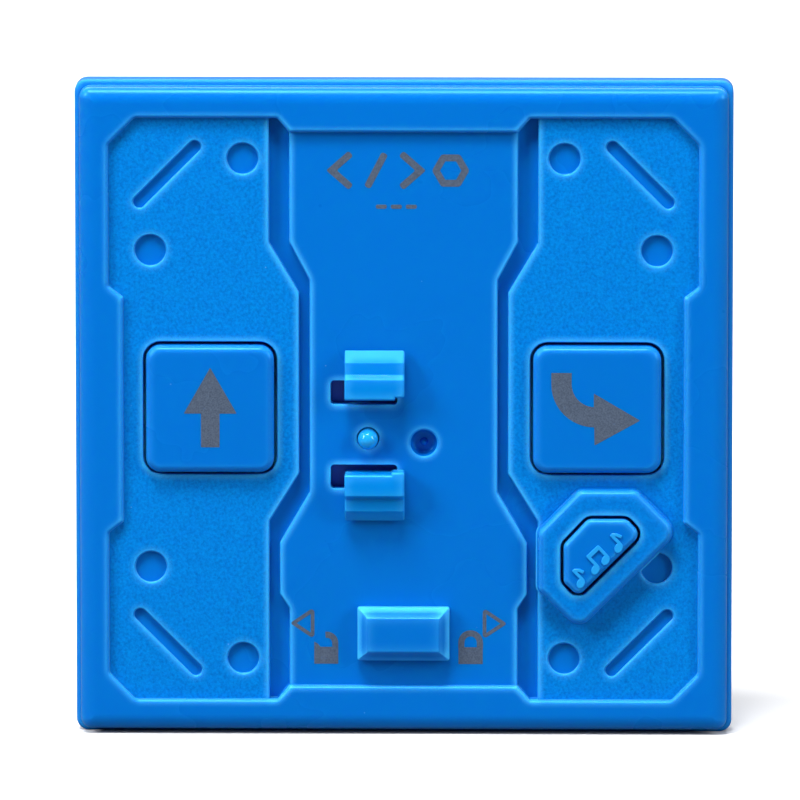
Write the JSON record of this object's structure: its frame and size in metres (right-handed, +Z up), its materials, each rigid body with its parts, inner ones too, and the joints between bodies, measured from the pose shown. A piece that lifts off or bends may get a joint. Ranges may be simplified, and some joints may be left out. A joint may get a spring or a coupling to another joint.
{
  "type": "coding robot hand control",
  "caption": "Square hand control block of an educational coding robot: push buttons, a docking latch with a lock slider and a battery foot.",
  "frame": {"origin": "centre of the bounding box on the surface that the block stands on", "axes": "+Z up the face, -Y out of the face towards the user, +X to the right as seen from the front"},
  "size_m": [0.0812, 0.0246, 0.0813],
  "materials": {
    "shell_blue": "satin moulded plastic, fine spark texture on the side panels",
    "control_blue": "smooth satin moulded plastic",
    "print_ink": "dark grey pad-printed ink",
    "latch_plastic": "plain moulded plastic",
    "board_green": "green solder resist",
    "chip_black": "black moulded resin",
    "plunger_red": "moulded plastic",
    "can_zinc": "tinned steel can",
    "screw_steel": "zinc-plated steel",
    "contact_metal": "nickel-plated sheet",
    "spring_steel": "nickel-plated spring wire",
    "cell_wrap": "plain coloured film over a battery cell",
    "lead_red": "insulated stranded lead",
    "lead_black": "insulated stranded lead"
  },
  "bodies": {
    "case": {"front_shell": "shell_blue", "back_shell": "shell_blue", "case_screw_1": "screw_steel", "case_screw_2": "screw_steel", "case_screw_3": "screw_steel", "case_screw_4": "screw_steel", "main_board": "board_green", "board_screw_1": "screw_steel", "board_screw_2": "screw_steel", "board_screw_3": "screw_steel", "board_screw_4": "screw_steel", "forward_switch": "chip_black", "turn_switch": "chip_black", "dance_switch": "chip_black", "dock_switch": "chip_black", "control_chip": "chip_black", "crystal": "can_zinc", "radio_module": "can_zinc", "battery_cell_1": "cell_wrap", "battery_cell_2": "cell_wrap", "bridge_contact": "contact_metal", "positive_contact": "contact_metal", "negative_contact": "contact_metal", "contact_spring_1": "spring_steel", "contact_spring_2": "spring_steel", "battery_lead_red": "lead_red", "battery_lead_black": "lead_black"},
    "forward_press": {"forward_button": "control_blue", "forward_plunger": "plunger_red"},
    "turn_press": {"turn_button": "control_blue", "turn_plunger": "plunger_red"},
    "dance_press": {"dance_button": "control_blue", "dance_plunger": "plunger_red"},
    "sensing_pin": {"dock_pin": "control_blue", "dock_plunger": "plunger_red"},
    "latch": {"lock_knob": "control_blue", "latch_plate": "latch_plastic", "upper_hook": "control_blue", "lower_hook": "control_blue", "latch_screw_1": "screw_steel", "latch_screw_2": "screw_steel", "latch_screw_3": "screw_steel"},
    "door": {"battery_door": "shell_blue", "battery_door_screw": "screw_steel"}
  },
  "joints": [
    {"name": "forward_button_press", "type": "slide", "parent": "case", "child": "forward_press", "axis": [0, 1, 0], "range_m": [0, 0.0008], "stiffness_N_per_m": 1000, "springref_m": -0.0004},
    {"name": "turn_button_press", "type": "slide", "parent": "case", "child": "turn_press", "axis": [0, 1, 0], "range_m": [0, 0.0008], "stiffness_N_per_m": 1000, "springref_m": -0.0004},
    {"name": "dance_button_press", "type": "slide", "parent": "case", "child": "dance_press", "axis": [0, 1, 0], "range_m": [0, 0.0008], "stiffness_N_per_m": 1000, "springref_m": -0.0004},
    {"name": "dock_pin_press", "type": "slide", "parent": "case", "child": "sensing_pin", "axis": [0, 1, 0], "range_m": [0, 0.0008], "stiffness_N_per_m": 600, "springref_m": -0.0005},
    {"name": "lock_slide", "type": "slide", "parent": "case", "child": "latch", "axis": [1, 0, 0], "range_m": [-0.0014, 0]},
    {"name": "battery_door_swing", "type": "hinge", "parent": "case", "child": "door", "pos_m": [0, 0.01155, 0.0022], "axis": [-1, 0, 0], "range_deg": [0, 90]}
  ]
}
